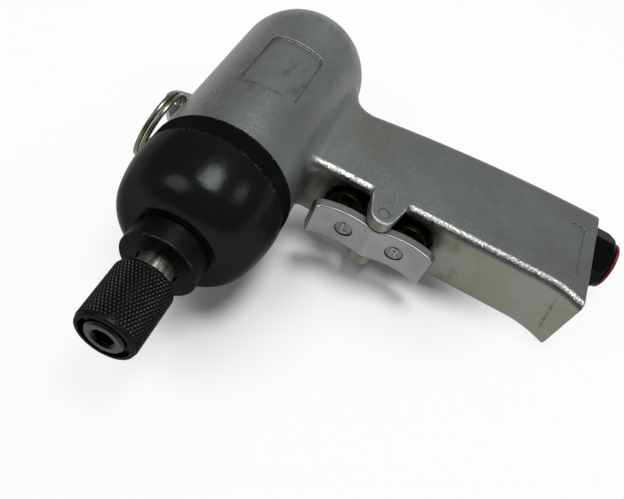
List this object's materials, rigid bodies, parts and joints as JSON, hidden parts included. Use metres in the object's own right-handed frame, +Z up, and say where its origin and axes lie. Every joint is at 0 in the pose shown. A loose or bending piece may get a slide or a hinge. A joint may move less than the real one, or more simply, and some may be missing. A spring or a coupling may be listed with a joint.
{
  "type": "air screwdriver",
  "caption": "Pistol-grip air screwdriver with a domed black hammer case, quick-change hex chuck, rocker trigger, hanging ring and air inlet in the grip's end.",
  "frame": {"origin": "on the bench the tool lies on, under the middle of its bounding box", "axes": "+Z up from the bench, +X along the handle towards the air inlet, -Y along the barrel towards the bit"},
  "size_m": [0.181, 0.1704, 0.0546],
  "materials": {
    "housing_alloy": "shot-blasted, fine bright sparkle, worn bright along the grip's front edge",
    "black_case": "semi-gloss black coating with a fine sandy grain",
    "black_oxide": "black oxide, satin, knurled where it is gripped",
    "anvil_steel": "turned and hardened, bright behind the sleeve",
    "plated_trigger": "satin plating",
    "pin_steel": "ground",
    "valve_brass": "machined, oily",
    "valve_steel": "ground",
    "seal_rubber": "matte",
    "gasket_fibre": "matte fibre",
    "spring_steel": "drawn wire",
    "ring_steel": "drawn wire, slightly tarnished",
    "motor_iron": "machined",
    "rotor_steel": "machined",
    "vane_laminate": "fabric laminate",
    "bearing_steel": "polished",
    "inlet_black": "satin black",
    "cap_red": "moulded",
    "exhaust_grey": "sintered"
  },
  "bodies": {
    "housing": {"motor_housing": "housing_alloy", "hammer_case": "black_case", "nose_collar": "black_oxide", "anvil_bush": "valve_brass", "motor_gasket": "gasket_fibre", "front_end_plate": "motor_iron", "rear_end_plate": "motor_iron", "cylinder_liner": "motor_iron", "liner_dowel": "pin_steel", "front_bearing_outer_ring": "bearing_steel", "rear_bearing_outer_ring": "bearing_steel", "trigger_pin": "pin_steel", "upper_valve_bush": "valve_brass", "upper_valve_spring": "spring_steel", "lower_valve_bush": "valve_brass", "lower_valve_spring": "spring_steel", "inlet_bushing": "inlet_black", "inlet_screen": "valve_brass", "exhaust_screen": "exhaust_grey"},
    "rotor": {"rotor": "rotor_steel", "rotor_vanes": "vane_laminate", "hammer_cage": "rotor_steel", "hammer_pins": "pin_steel", "front_bearing_inner_ring": "bearing_steel", "rear_bearing_inner_ring": "bearing_steel"},
    "front_ball_set": {"front_bearing_balls": "bearing_steel", "front_bearing_cage": "bearing_steel"},
    "rear_ball_set": {"rear_bearing_balls": "bearing_steel", "rear_bearing_cage": "bearing_steel"},
    "rear_dog": {"rear_hammer_dog": "rotor_steel"},
    "front_dog": {"front_hammer_dog": "rotor_steel"},
    "anvil": {"anvil": "anvil_steel", "bit_ball": "bearing_steel", "sleeve_washer": "black_oxide", "sleeve_snap_ring": "black_oxide", "sleeve_spring": "spring_steel"},
    "sleeve": {"chuck_sleeve": "black_oxide"},
    "rocker": {"trigger": "plated_trigger"},
    "upper_valve": {"upper_valve_stem": "valve_steel", "upper_valve_seal": "seal_rubber"},
    "lower_valve": {"lower_valve_stem": "valve_steel", "lower_valve_seal": "seal_rubber"},
    "cap": {"inlet_cap": "cap_red"},
    "hanging_ring": {"split_ring": "ring_steel"}
  },
  "joints": [
    {"name": "rotor_spin", "type": "hinge", "parent": "housing", "child": "rotor", "pos_m": [-0.05505, -0.01172, 0.02721], "axis": [0, -0.9999, 0.0101], "continuous": true},
    {"name": "front_ball_roll", "type": "hinge", "parent": "housing", "child": "front_ball_set", "pos_m": [-0.05505, -0.01172, 0.02721], "axis": [0, -0.9999, 0.0101], "continuous": true},
    {"name": "rear_ball_roll", "type": "hinge", "parent": "housing", "child": "rear_ball_set", "pos_m": [-0.05505, -0.01172, 0.02721], "axis": [0, -0.9999, 0.0101], "continuous": true},
    {"name": "anvil_spin", "type": "hinge", "parent": "housing", "child": "anvil", "pos_m": [-0.05505, -0.01172, 0.02721], "axis": [0, -0.9999, 0.0101], "continuous": true},
    {"name": "rear_dog_rock", "type": "hinge", "parent": "rotor", "child": "rear_dog", "pos_m": [-0.03793, -0.01174, 0.02556], "axis": [0, -0.9999, 0.0101], "range_deg": [-3, 3]},
    {"name": "front_dog_rock", "type": "hinge", "parent": "rotor", "child": "front_dog", "pos_m": [-0.07218, -0.0117, 0.02886], "axis": [0, -0.9999, 0.0101], "range_deg": [-3, 3]},
    {"name": "sleeve_pull", "type": "slide", "parent": "anvil", "child": "sleeve", "axis": [0, -0.9999, 0.0101], "range_m": [0, 0.0045], "stiffness_N_per_m": 900, "deforming": ["sleeve_spring"]},
    {"name": "trigger_rock", "type": "hinge", "parent": "housing", "child": "rocker", "pos_m": [0.00039, -0.00067, 0.02176], "axis": [0.0959, 0.0101, 0.9953], "range_deg": [-11, 5], "stiffness_Nm_per_rad": 0.35},
    {"name": "upper_valve_slide", "type": "slide", "parent": "housing", "child": "upper_valve", "axis": [0, -0.9999, 0.0101], "range_m": [-0.00252, 0.00115], "deforming": ["upper_valve_spring"]},
    {"name": "lower_valve_slide", "type": "slide", "parent": "housing", "child": "lower_valve", "axis": [0, -0.9999, 0.0101], "range_m": [-0.00115, 0.00252], "deforming": ["lower_valve_spring"]},
    {"name": "cap_pull", "type": "slide", "parent": "housing", "child": "cap", "axis": [0.9954, -0.001, -0.0959], "range_m": [0, 0.04]},
    {"name": "ring_swing", "type": "hinge", "parent": "housing", "child": "hanging_ring", "pos_m": [-0.08452, 0.01181, 0.02982], "axis": [-0.0959, -0.0101, -0.9953], "range_deg": [0, 165]}
  ],
  "couplings": [
    {"joint": "front_ball_roll", "follows": "rotor_spin", "ratio": 0.381},
    {"joint": "rear_ball_roll", "follows": "rotor_spin", "ratio": 0.368},
    {"joint": "anvil_spin", "follows": "rotor_spin", "ratio": 1},
    {"joint": "upper_valve_slide", "follows": "trigger_rock", "m_per_rad": 0.013},
    {"joint": "lower_valve_slide", "follows": "trigger_rock", "m_per_rad": -0.013}
  ]
}
